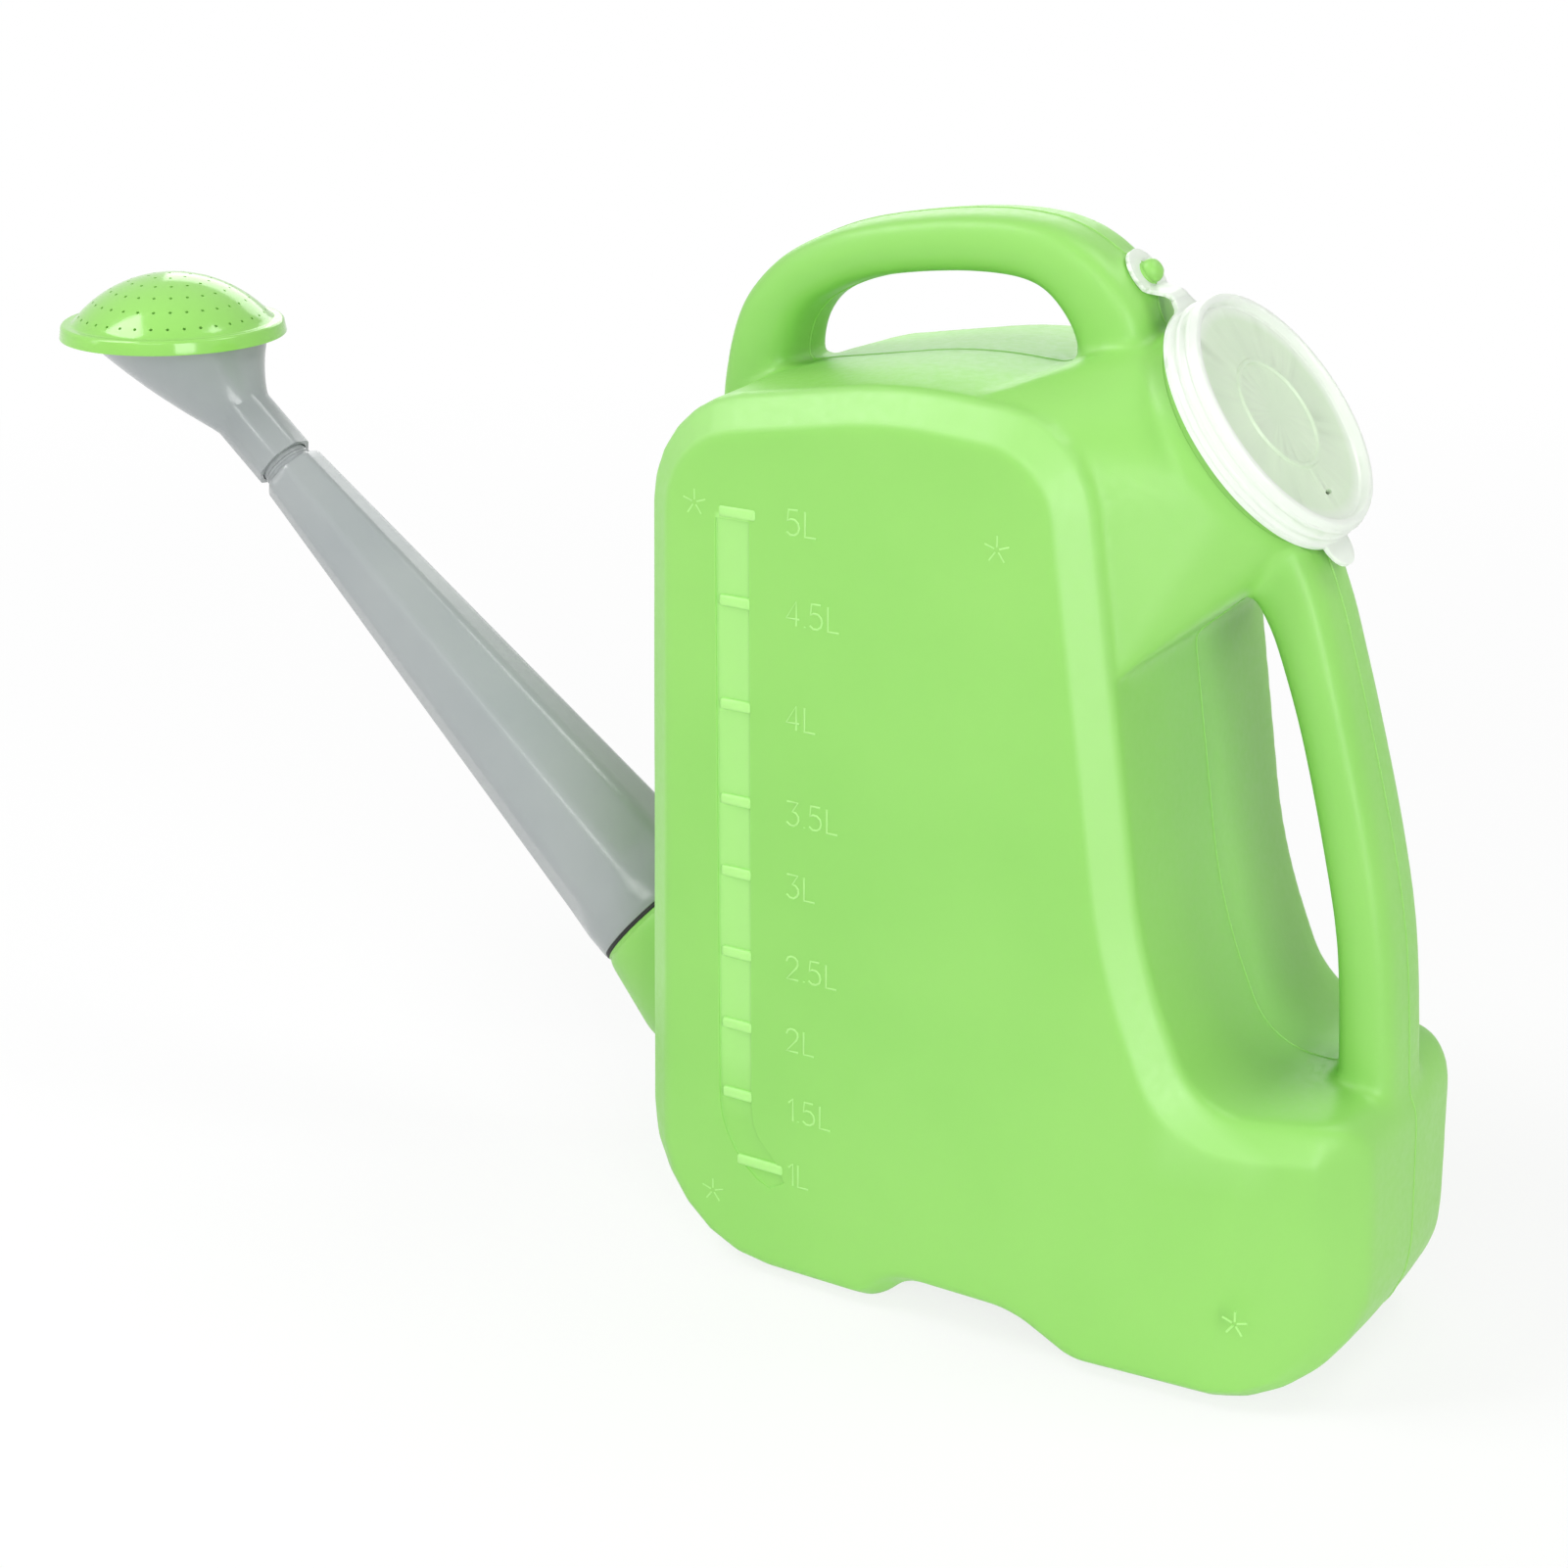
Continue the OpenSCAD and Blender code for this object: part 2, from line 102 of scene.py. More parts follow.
# ---- how things are made ----
def activate(obj):
    """Selects a piece alone and makes it the active one."""
    bpy.ops.object.select_all(action="DESELECT")
    obj.select_set(True)
    bpy.context.view_layer.objects.active = obj
    return obj


def finish_with(obj, kind, **settings):
    """Adds a modifier with these settings and applies it."""
    activate(obj)
    modifier = obj.modifiers.new(kind.title(), kind)
    for key, value in settings.items():
        setattr(modifier, key, value)
    bpy.ops.object.modifier_apply(modifier=modifier.name)
    return obj


def set_down(obj, place):
    """Moves a piece made in a local frame to its place, in its mesh."""
    obj.data.transform(place @ obj.matrix_world)
    obj.matrix_world = Matrix.Identity(4)
    return obj


def smooth(obj, angle=35):
    """Shades a piece smooth, apart from edges sharper than the angle."""
    activate(obj)
    bpy.ops.object.shade_smooth_by_angle(angle=math.radians(angle))
    return obj


def soften(obj, width, angle=30, segments=3):
    """Rounds every edge sharper than the angle."""
    return finish_with(
        obj, "BEVEL", width=width, segments=segments, limit_method="ANGLE",
        angle_limit=math.radians(angle), use_clamp_overlap=True,
    )


def turned(name, profile, steps=128):
    """A profile of (radius, height) points, extruded point by point and spun round the local Z axis."""
    radius, height = profile[0]
    bpy.ops.mesh.primitive_plane_add(size=1, location=(radius, 0, height))
    obj = bpy.context.active_object
    obj.name = name
    bpy.ops.object.mode_set(mode="EDIT")
    bpy.ops.mesh.merge(type="CENTER")
    for here, there in zip(profile, profile[1:]):
        step = (there[0] - here[0], 0, there[1] - here[1])
        bpy.ops.mesh.extrude_region_move(TRANSFORM_OT_translate={"value": step})
    bpy.ops.mesh.select_all(action="SELECT")
    bpy.ops.mesh.spin(steps=steps, angle=2 * math.pi, center=(0, 0, 0), axis=(0, 0, 1))
    bpy.ops.mesh.select_all(action="SELECT")
    bpy.ops.mesh.remove_doubles(threshold=0.0005)
    bpy.ops.mesh.normals_make_consistent(inside=False)
    bpy.ops.object.mode_set(mode="OBJECT")
    obj.data.transform(obj.matrix_world)
    obj.matrix_world = Matrix.Identity(4)
    return obj


def block(name, low, high, rounding=0.0):
    """A box between two corners with rounded edges."""
    size = [b - a for a, b in zip(low, high)]
    middle = [(a + b) / 2 for a, b in zip(low, high)]
    bpy.ops.mesh.primitive_cube_add(size=1, location=middle, scale=size)
    obj = bpy.context.active_object
    obj.name = name
    obj.data.transform(obj.matrix_world)
    obj.matrix_world = Matrix.Identity(4)
    if rounding:
        soften(obj, rounding)
    return obj


def plate(name, outline, low, high, rounding):
    """A flat piece of this outline, from low to high across its own plane, with rounded edges."""
    curve = bpy.data.curves.new(name, "CURVE")
    curve.dimensions = "2D"
    curve.fill_mode = "BOTH"
    curve.extrude = (high - low) / 2 - rounding
    curve.bevel_depth = rounding
    curve.bevel_resolution = 2
    curve.offset = -rounding
    spline = curve.splines.new("POLY")
    spline.points.add(len(outline) - 1)
    for point, (x, y) in zip(spline.points, outline):
        point.co = (x, y, 0, 1)
    spline.use_cyclic_u = True
    obj = bpy.data.objects.new(name, curve)
    bpy.context.scene.collection.objects.link(obj)
    activate(obj)
    bpy.ops.object.convert(target="MESH")
    obj = bpy.context.active_object
    bpy.ops.object.mode_set(mode="EDIT")
    bpy.ops.mesh.select_all(action="SELECT")
    bpy.ops.mesh.remove_doubles(threshold=0.001)
    bpy.ops.mesh.normals_make_consistent(inside=False)
    bpy.ops.transform.translate(value=(0, 0, (low + high) / 2))
    bpy.ops.object.mode_set(mode="OBJECT")
    return obj


def combined(obj, other, operation):
    """Joins or cuts a piece with another, which is used up."""
    finish_with(obj, "BOOLEAN", object=other, operation=operation, solver="MANIFOLD")
    bpy.data.objects.remove(other)
    return obj


def rods(name, lines, radius):
    """Round rods with closed ends, one along each list of (x, y, z) points."""
    curve = bpy.data.curves.new(name, "CURVE")
    curve.dimensions = "3D"
    curve.bevel_depth = radius
    curve.bevel_resolution = 2
    curve.use_fill_caps = True
    for line in lines:
        spline = curve.splines.new("POLY")
        spline.points.add(len(line) - 1)
        for point, (x, y, z) in zip(spline.points, line):
            point.co = (x, y, z, 1)
    obj = bpy.data.objects.new(name, curve)
    bpy.context.scene.collection.objects.link(obj)
    activate(obj)
    bpy.ops.object.convert(target="MESH")
    return bpy.context.active_object


# ---- the camera, the floor and the lights ----
def studio():
    scene = bpy.context.scene
    scene.view_settings.view_transform = "Standard"
    target = can_place @ Vector((-99.45, 0, 140.4))
    azimuth, elevation, distance = math.radians(31.7), math.radians(20.1), 929.8 * MM
    out = Vector((
        math.sin(azimuth) * math.cos(elevation),
        -math.cos(azimuth) * math.cos(elevation),
        math.sin(elevation),
    ))
    camera = bpy.data.objects.new("camera", bpy.data.cameras.new("camera"))
    scene.collection.objects.link(camera)
    camera.location = target + out * distance
    camera.rotation_euler = (-out).to_track_quat("-Z", "Y").to_euler()
    camera.data.sensor_width = 36
    camera.data.lens = 36 * 2980 / 1601
    camera.data.clip_start = 0.01
    scene.camera = camera

    bpy.ops.mesh.primitive_circle_add(vertices=96, radius=14, fill_type="NGON", location=(0, 0, -0.0003))
    floor = bpy.context.active_object
    floor.name = "floor"
    floor.data.materials.append(floor_material())

    lamp("right_box", (1.5, -1.3, 0.6), 0.8, 1.15, 19)
    lamp("top_box", (-1.0, -0.7, 1.65), 0.85, 0.85, 15.5)
    lamp("left_box", (-1.5, -1.3, 0.9), 0.3, 1.0, 3)
    lamp("back_box", (-0.95, 1.55, 0.95), 1.3, 0.8, 7)
    lamp("front_box", (0.26, -1.7, 1.1), 0.9, 0.45, 6)
    lamp("high_box", (0.65, 0.4, 1.6), 0.6, 0.6, 6)

    world = bpy.data.worlds.new("studio")
    scene.world = world
    world.use_nodes = True
    tree = world.node_tree
    tree.nodes.clear()
    seen = tree.nodes.new("ShaderNodeBackground")
    seen.inputs["Color"].default_value = (1, 1, 1, 1)
    seen.inputs["Strength"].default_value = 1
    lit = tree.nodes.new("ShaderNodeBackground")
    lit.inputs["Color"].default_value = (1, 1, 1, 1)
    lit.inputs["Strength"].default_value = 0.30
    mix = tree.nodes.new("ShaderNodeMixShader")
    tree.links.new(seen_directly(tree), mix.inputs["Fac"])
    tree.links.new(lit.outputs[0], mix.inputs[1])
    tree.links.new(seen.outputs[0], mix.inputs[2])
    output = tree.nodes.new("ShaderNodeOutputWorld")
    tree.links.new(mix.outputs[0], output.inputs["Surface"])


def seen_directly(tree):
    """1 for a ray from the camera, a reflection or glass, and 0 for light that falls on things."""
    path = tree.nodes.new("ShaderNodeLightPath")
    total = tree.nodes.new("ShaderNodeMath")
    total.operation = "MAXIMUM"
    tree.links.new(path.outputs["Is Camera Ray"], total.inputs[0])
    tree.links.new(path.outputs["Is Glossy Ray"], total.inputs[1])
    every = tree.nodes.new("ShaderNodeMath")
    every.operation = "MAXIMUM"
    tree.links.new(total.outputs[0], every.inputs[0])
    tree.links.new(path.outputs["Is Transmission Ray"], every.inputs[1])
    return every.outputs[0]


def lamp(name, place, width, height, watts):
    light = bpy.data.lights.new(name, "AREA")
    light.shape = "RECTANGLE"
    light.size = width
    light.size_y = height
    light.energy = watts
    obj = bpy.data.objects.new(name, light)
    bpy.context.scene.collection.objects.link(obj)
    obj.location = place
    obj.rotation_euler = (Vector((0, 0, 0.15)) - Vector(place)).to_track_quat("-Z", "Y").to_euler()


# ---- materials ----
def srgb(red, green, blue):
    """A colour as it looks on screen, 0 to 255, as the linear colour a shader takes."""
    def linear(v):
        v /= 255
        return v / 12.92 if v <= 0.04045 else ((v + 0.055) / 1.055) ** 2.4
    return (linear(red), linear(green), linear(blue), 1)


class Finish:
    """A node material built up from one Principled shader."""

    def __init__(self, name, **sockets):
        self.material = bpy.data.materials.new(name)
        self.material.use_nodes = True
        self.tree = self.material.node_tree
        self.shader = self.tree.nodes["Principled BSDF"]
        for key, value in sockets.items():
            self.shader.inputs[key.replace("_", " ")].default_value = value
        self.place = self.add("ShaderNodeTexCoord").outputs["Object"]

    def add(self, kind, **settings):
        node = self.tree.nodes.new(kind)
        for key, value in settings.items():
            setattr(node, key, value)
        return node

    def link(self, source, target):
        self.tree.links.new(source, target)

    def noise(self, scale, detail=2.0):
        node = self.add("ShaderNodeTexNoise")
        self.link(self.place, node.inputs["Vector"])
        node.inputs["Scale"].default_value = scale
        node.inputs["Detail"].default_value = detail
        return node.outputs["Fac"]

    def math(self, operation, a, b=None):
        """One Math node; each value is a number or another node's output."""
        node = self.add("ShaderNodeMath", operation=operation)
        for socket, value in zip(node.inputs, (a, b)):
            if value is None:
                continue
            if isinstance(value, (int, float)):
                socket.default_value = value
            else:
                self.link(value, socket)
        return node.outputs[0]

    def spread(self, source, low, high, out_low, out_high):
        """Stretches the values between low and high over out_low to out_high."""
        node = self.add("ShaderNodeMapRange")
        self.link(source, node.inputs["Value"])
        limits = {"From Min": low, "From Max": high, "To Min": out_low, "To Max": out_high}
        for key, value in limits.items():
            node.inputs[key].default_value = value
        return node.outputs["Result"]

    def mix(self, factor, a, b):
        """Goes from colour a to colour b as the factor goes from 0 to 1."""
        node = self.add("ShaderNodeMix", data_type="RGBA")
        if isinstance(factor, (int, float)):
            node.inputs[0].default_value = factor
        else:
            self.link(factor, node.inputs[0])
        for socket, value in ((node.inputs[6], a), (node.inputs[7], b)):
            if isinstance(value, tuple):
                socket.default_value = value
            else:
                self.link(value, socket)
        return node.outputs[2]

    def colour(self, source):
        self.link(source, self.shader.inputs["Base Color"])

    def roughness(self, source):
        self.link(source, self.shader.inputs["Roughness"])

    def bump(self, source, distance, strength=1.0, over=None):
        """Dents the surface by a pattern, on top of another bump where one is given."""
        node = self.add("ShaderNodeBump")
        node.inputs["Strength"].default_value = strength
        node.inputs["Distance"].default_value = distance
        self.link(source, node.inputs["Height"])
        if over is not None:
            self.link(over, node.inputs["Normal"])
        self.link(node.outputs["Normal"], self.shader.inputs["Normal"])
        return node.outputs["Normal"]


def floor_material():
    """White where it is seen, with the shadow of the can left on it near its foot."""
    finish = Finish("pale_floor", Roughness=1.0)
    finish.shader.inputs["Specular IOR Level"].default_value = 0
    tone = finish.spread(finish.noise(2.0), 0.3, 0.7, 0.0, 1.0)
    finish.colour(finish.mix(tone, (0.94, 0.94, 0.94, 1), (0.96, 0.96, 0.96, 1)))
    glow = finish.add("ShaderNodeEmission")
    glow.inputs["Strength"].default_value = 1
    mix = finish.add("ShaderNodeMixShader")
    reach = finish.add("ShaderNodeVectorMath", operation="LENGTH")
    finish.link(finish.place, reach.inputs[0])
    glowing = finish.spread(reach.outputs["Value"], 0.3, 1.3, 0.8, 1.0)
    finish.link(finish.math("MULTIPLY", seen_directly(finish.tree), glowing), mix.inputs["Fac"])
    finish.link(finish.shader.outputs[0], mix.inputs[1])
    finish.link(glow.outputs[0], mix.inputs[2])
    finish.link(mix.outputs[0], finish.tree.nodes["Material Output"].inputs["Surface"])
    return finish.material


def shell_plastic():
    """Satin green polyethylene: a fine sanded grain, faint clouds, paler where the skin is thin, and a
    painted sheen on the chamfers round the flat sides.
    """
    finish = Finish("shell_plastic", Roughness=0.42)
    finish.shader.inputs["Subsurface Weight"].default_value = 0.12
    finish.shader.inputs["Subsurface Radius"].default_value = (0.6, 1.0, 0.4)
    finish.shader.inputs["Subsurface Scale"].default_value = 0.004
    clouds = finish.spread(finish.noise(9.0, 3.0), 0.35, 0.65, 0.0, 1.0)
    base = finish.mix(clouds, srgb(138, 203, 95), srgb(145, 208, 101))
    grain = finish.noise(2600.0, 2.0)
    ripples = finish.noise(55.0, 2.0)
    axes = finish.add("ShaderNodeSeparateXYZ")
    finish.link(finish.place, axes.inputs[0])
    # the gauge strip, level with its recess
    middle = (FOOT_X + sum(STRIP_X) / 2) * MM
    across = finish.math("ABSOLUTE", finish.math("SUBTRACT", axes.outputs["X"], middle))
    in_strip = finish.spread(across, 0.0050, 0.0062, 1.0, 0.0)
    under_top = finish.spread(axes.outputs["Z"], 0.2445, 0.2455, 1.0, 0.0)
    over_foot = finish.spread(axes.outputs["Z"], 0.052, 0.074, 0.0, 1.0)
    on_side = finish.spread(axes.outputs["Y"], -0.0575, -0.0565, 1.0, 0.0)
    along_strip = finish.math("MULTIPLY", over_foot, on_side)
    strip = finish.math("MULTIPLY", finish.math("MULTIPLY", in_strip, under_top), along_strip)
    strip = finish.math("MULTIPLY", strip, 0.5)
    # the chamfers round the flat sides, painted paler than the flats as the sheen of the light they catch
    off_middle = finish.math("ABSOLUTE", axes.outputs["Y"])
    past_flank = finish.spread(off_middle, 0.0505, 0.0535, 0.0, 1.0)
    short_of_side = finish.spread(off_middle, 0.0590, 0.0597, 1.0, 0.0)
    over_block = finish.spread(axes.outputs["Z"], 0.068, 0.092, 0.0, 1.0)
    chamfer_sheen = finish.math("MULTIPLY", finish.math("MULTIPLY", past_flank, short_of_side), over_block)
    # painted sheen: the chamfers are mixed toward a paler, whiter green
    base = finish.mix(chamfer_sheen, base, srgb(154, 214, 116))
    finish.colour(finish.mix(strip, base, srgb(172, 232, 135)))
    finish.roughness(finish.spread(finish.noise(420.0, 3.0), 0.3, 0.7, 0.38, 0.48))
    first = finish.bump(ripples, 0.0004, 0.25)
    finish.bump(grain, 0.00006, 0.35, first)
    return finish.material


def rose_plastic():
    """Glossy green polypropylene."""
    finish = Finish("rose_plastic", Roughness=0.12)
    clouds = finish.spread(finish.noise(25.0, 3.0), 0.35, 0.65, 0.0, 1.0)
    finish.colour(finish.mix(clouds, srgb(143, 208, 93), srgb(149, 214, 101)))
    finish.roughness(finish.spread(finish.noise(300.0, 3.0), 0.3, 0.7, 0.09, 0.17))
    finish.bump(finish.noise(70.0), 0.0002, 0.2)
    return finish.material


def spout_plastic():
    """Glossy grey polypropylene with faint flow marks along the tube."""
    finish = Finish("spout_plastic", Roughness=0.2)
    clouds = finish.spread(finish.noise(18.0, 3.0), 0.35, 0.65, 0.0, 1.0)
    finish.colour(finish.mix(clouds, srgb(152, 158, 160), srgb(160, 165, 166)))
    finish.roughness(finish.spread(finish.noise(350.0, 3.0), 0.3, 0.7, 0.16, 0.26))
    finish.bump(finish.noise(60.0), 0.0002, 0.25)
    return finish.material


def lid_plastic():
    """Milky polyethylene: the dish lets the green of the neck through, and the rim is whiter."""
    finish = Finish("lid_plastic", Roughness=0.35, IOR=1.5)
    finish.shader.inputs["Transmission Weight"].default_value = 0.2
    centre = finish.add("ShaderNodeMapping", vector_type="TEXTURE")
    centre.inputs["Location"].default_value = neck_place.translation
    centre.inputs["Rotation"].default_value = (0, math.radians(NECK_TILT), 0)
    finish.link(finish.place, centre.inputs["Vector"])
    axes = finish.add("ShaderNodeSeparateXYZ")
    finish.link(centre.outputs["Vector"], axes.inputs[0])
    squares = [
        finish.math("POWER", finish.math("ABSOLUTE", axes.outputs[axis]), 2) for axis in ("X", "Y")
    ]
    radius = finish.math("SQRT", finish.math("ADD", *squares))
    rim = finish.spread(radius, 0.0300, 0.0345, 0.0, 1.0)
    clouds = finish.spread(finish.noise(40.0, 3.0), 0.35, 0.65, 0.0, 1.0)
    dish = finish.mix(clouds, srgb(221, 241, 211), srgb(227, 245, 217))
    finish.colour(finish.mix(rim, dish, srgb(246, 253, 243)))
    finish.roughness(finish.spread(finish.noise(300.0, 3.0), 0.3, 0.7, 0.3, 0.4))
    finish.bump(finish.noise(90.0), 0.0002, 0.2)
    return finish.material


def mark_plastic():
    """The raised marks, painted paler than the shell as a highlight of the light their strokes catch."""
    finish = Finish("mark_plastic", Roughness=0.4)
    finish.shader.inputs["Subsurface Weight"].default_value = 0.1
    finish.shader.inputs["Subsurface Radius"].default_value = (0.6, 1.0, 0.4)
    finish.shader.inputs["Subsurface Scale"].default_value = 0.003
    # painted highlight: a paler green than the shell
    finish.colour(finish.mix(finish.noise(150.0, 3.0), srgb(164, 226, 125), srgb(173, 231, 135)))
    finish.bump(finish.noise(2600.0), 0.00005, 0.3)
    return finish.material


def seal_rubber():
    """Matt black rubber."""
    finish = Finish("seal_rubber", Roughness=0.6)
    finish.colour(finish.mix(finish.noise(200.0), srgb(18, 20, 18), srgb(30, 32, 30)))
    finish.bump(finish.noise(900.0), 0.0001, 0.3)
    return finish.material


# ---- the blow-moulded body ----
def outside_of_frame(node, name):
    """The outside of the hollow shell as one closed, evenly meshed skin, its inside corners blended."""
    skin = bpy.data.objects.new(name, nodes[node].data.copy())
    bpy.context.scene.collection.objects.link(skin)
    skin.data.materials.clear()
    activate(skin)
    bpy.ops.object.mode_set(mode="EDIT")
    bpy.ops.mesh.select_all(action="SELECT")
    bpy.ops.mesh.remove_doubles(threshold=0.00001)
    bpy.ops.mesh.select_all(action="DESELECT")
    bpy.ops.object.mode_set(mode="OBJECT")
    # the bores of the neck and the stub are where the inside joins the outside
    into_neck, into_spout = neck_place.inverted(), spout_place.inverted()
    for face in skin.data.polygons:
        neck = into_neck @ face.center
        stub = into_spout @ face.center
        in_neck = math.hypot(neck.x, neck.y) < 33.5 and -14 < neck.z < 5.65
        in_stub = math.hypot(stub.x, stub.y) < 18 and -10 < stub.z < 12.9
        face.select = in_neck or in_stub
    bpy.ops.object.mode_set(mode="EDIT")
    bpy.ops.mesh.select_mode(type="FACE")
    bpy.ops.mesh.delete(type="FACE")
    bpy.ops.mesh.select_mode(type="VERT")
    bpy.ops.mesh.select_all(action="DESELECT")
    bpy.ops.object.mode_set(mode="OBJECT")
    max(skin.data.vertices, key=lambda v: v.co.z).select = True
    bpy.ops.object.mode_set(mode="EDIT")
    bpy.ops.mesh.select_linked()
    bpy.ops.mesh.select_all(action="INVERT")
    bpy.ops.mesh.delete(type="VERT")
    bpy.ops.mesh.select_all(action="SELECT")
    bpy.ops.mesh.fill_holes(sides=0)
    bpy.ops.mesh.normals_make_consistent(inside=False)
    bpy.ops.object.mode_set(mode="OBJECT")
    finish_with(skin, "REMESH", mode="VOXEL", voxel_size=0.0014, use_smooth_shade=True)
    finish_with(skin, "SMOOTH", factor=0.5, iterations=2)
    # the handles, the shoulder and the stub flow into the tank, and the bevels by the flat sides stay crisp
    middle = skin.vertex_groups.new(name="middle")
    for vertex in skin.data.vertices:
        share = (0.049 - abs(vertex.co.y)) / 0.007
        if share > 0:
            middle.add([vertex.index], min(1, share), "REPLACE")
    finish_with(skin, "SMOOTH", factor=0.5, iterations=20, vertex_group="middle")
    finish_with(skin, "DECIMATE", decimate_type="COLLAPSE", ratio=0.45)
    return skin


def make_body():
    """The skin hollowed to a wall of 3.5 mm, open at the neck and the stub, and the seam of its mould."""
    body = outside_of_frame("can_body", "can_moulding")
    cavity = body.copy()
    cavity.data = body.data.copy()
    bpy.context.scene.collection.objects.link(cavity)
    finish_with(cavity, "SMOOTH", factor=0.5, iterations=10)
    finish_with(cavity, "DISPLACE", strength=-0.0035, mid_level=0)
    finish_with(cavity, "REMESH", mode="VOXEL", voxel_size=0.0035)
    seam = parting_seam(body)
    combined(body, cavity, "DIFFERENCE")
    cuts = [
        ("bore", neck_place, [(0, -22), (33, -22), (33, 9), (0, 9)]),
        ("mouth", neck_place, [(32, -3.2), (45, -3.2), (45, 12), (32, 12), (32, -3.2)]),
        ("stub_end", spout_place, [(0, -1.6), (40, -1.6), (40, 20), (0, 20)]),
        ("stub_bore", spout_place, [(0, -45), (17.6, -45), (17.6, 2), (0, 2)]),
    ]
    for name, place, profile in cuts:
        combined(body, set_down(turned(name, profile), place), "DIFFERENCE")
    return body, seam


def parting_seam(body):
    """The line where the halves of the mould met: the skin's outline in the middle plane, a hair proud."""
    line = body.copy()
    line.data = body.data.copy()
    line.name = "parting_seam"
    bpy.context.scene.collection.objects.link(line)
    activate(line)
    bpy.ops.object.mode_set(mode="EDIT")
    bpy.ops.mesh.select_all(action="SELECT")
    bpy.ops.mesh.bisect(plane_co=(0, 0.00003, 0), plane_no=(0, 1, 0), clear_inner=True, clear_outer=True)
    bpy.ops.mesh.select_all(action="SELECT")
    bpy.ops.mesh.remove_doubles(threshold=0.00005)
    bpy.ops.object.mode_set(mode="OBJECT")
    bpy.ops.object.convert(target="CURVE")
    line = bpy.context.active_object
    line.data.bevel_depth = 0.0003
    line.data.bevel_resolution = 1
    bpy.ops.object.convert(target="MESH")
    return bpy.context.active_object


# ---- the gauge on the near side: letters as strokes in a square of one, then sizes in millimetres ----
GLYPHS = {
    "1": [[(0.12, 0.8), (0.32, 1), (0.32, 0)]],
    "2": [[(0.02, 0.76), (0.08, 0.93), (0.22, 1), (0.4, 0.98), (0.53, 0.87), (0.55, 0.7), (0.48, 0.54),
           (0.02, 0), (0.58, 0)]],
    "3": [[(0.04, 1), (0.54, 1), (0.28, 0.6), (0.44, 0.56), (0.55, 0.43), (0.57, 0.27), (0.49, 0.1),
           (0.34, 0), (0.17, 0.01), (0.02, 0.14)]],
    "4": [[(0.45, 0), (0.45, 1), (0.0, 0.28), (0.6, 0.28)]],
    "5": [[(0.52, 1), (0.1, 1), (0.05, 0.56), (0.2, 0.63), (0.38, 0.62), (0.52, 0.5), (0.57, 0.32),
           (0.52, 0.12), (0.36, 0.01), (0.18, 0.0), (0.02, 0.12)]],
    "L": [[(0.05, 1), (0.05, 0), (0.55, 0)]],
    ".": [[(0.06, 0.0), (0.06, 0.05)]],
}
ADVANCE = {"1": 0.52, ".": 0.26}
LETTER_H = 7.4
LABEL_X = -61.6
STROKE_SUNK = 0.22
MARKS = {
    "5L": 245.5, "4.5L": 218.8, "4L": 187.2, "3.5L": 157.4, "3L": 134.4,
    "2.5L": 108.1, "2L": 84.3, "1.5L": 61.0, "1L": 38.9,
}
STRIP_X = (-85.8, -74.2)
STAR_ARMS = 5
STARS = [(-92.8, 247), (5.6, 247), (-88.6, 25.5), (87.5, 32)]
# the strip's outline runs down one side, turns toward the 1 L mark and comes back up the other
STRIP = [
    (-85.8, 243.5), (-85.8, 58), (-85.0, 52.5), (-83.2, 47.2), (-80.4, 42), (-76.6, 37.4),
    (-72.4, 33.8), (-67.6, 31.8), (-62.4, 35.0), (-64.6, 40.4), (-68.6, 44.8), (-71.8, 48.4),
    (-73.5, 52.4), (-74.2, 58), (-74.2, 243.5),
]
# the near side: local X along the can, local Y up
side_place = can_place @ Matrix.Translation((0, SIDE_Y, 0)) @ Matrix.Rotation(math.radians(90), 4, "X")


def label(text, height):
    """The strokes of a litre mark, its letters in a row from LABEL_X and centred on the height."""
    lines = []
    x = LABEL_X
    for letter in text:
        for line in GLYPHS[letter]:
            lines.append([
                (x + px * LETTER_H, height + (py - 0.5) * LETTER_H, -STROKE_SUNK) for px, py in line
            ])
        x += ADVANCE.get(letter, 0.78) * LETTER_H
    return lines


def star(x, z):
    """The arms of a small moulded star."""
    arms = []
    for arm in range(STAR_ARMS):
        angle = math.radians(90 + 360 / STAR_ARMS * arm)
        arms.append([
            (x + reach * math.cos(angle), z + reach * math.sin(angle), -STROKE_SUNK) for reach in (0.8, 4)
        ])
    return arms


def make_scale(body):
    """The recessed gauge strip with its ridges, the raised litre marks beside it and the moulded stars."""
    combined(body, set_down(plate("strip", STRIP, -0.6, 3, 0.5), side_place), "DIFFERENCE")
    letters = [line for text, height in MARKS.items() for line in label(text, height)]
    arms = [arm for x, z in STARS for arm in star(x, z)]
    marks = set_down(rods("litre_marks", letters, 0.42), side_place)
    stars = set_down(rods("moulded_stars", arms, 0.34), side_place)
    ticks = []
    for text, height in MARKS.items():
        low, high = STRIP_X[0] + 1.2, STRIP_X[1] + 0.3
        if text == "5L":
            high += 2
        if text == "1L":
            low += 5
            high += 11
        corners = (low, SIDE_Y - 0.4, height - 1.6), (high, SIDE_Y + 1.6, height + 1.9)
        ticks.append(block("tick", *corners, 0.9))
    activate(ticks[0])
    for tick in ticks:
        tick.select_set(True)
    bpy.ops.object.join()
    ridges = set_down(bpy.context.active_object, can_place)
    ridges.name = "gauge_ridges"
    return marks, smooth(ridges), stars


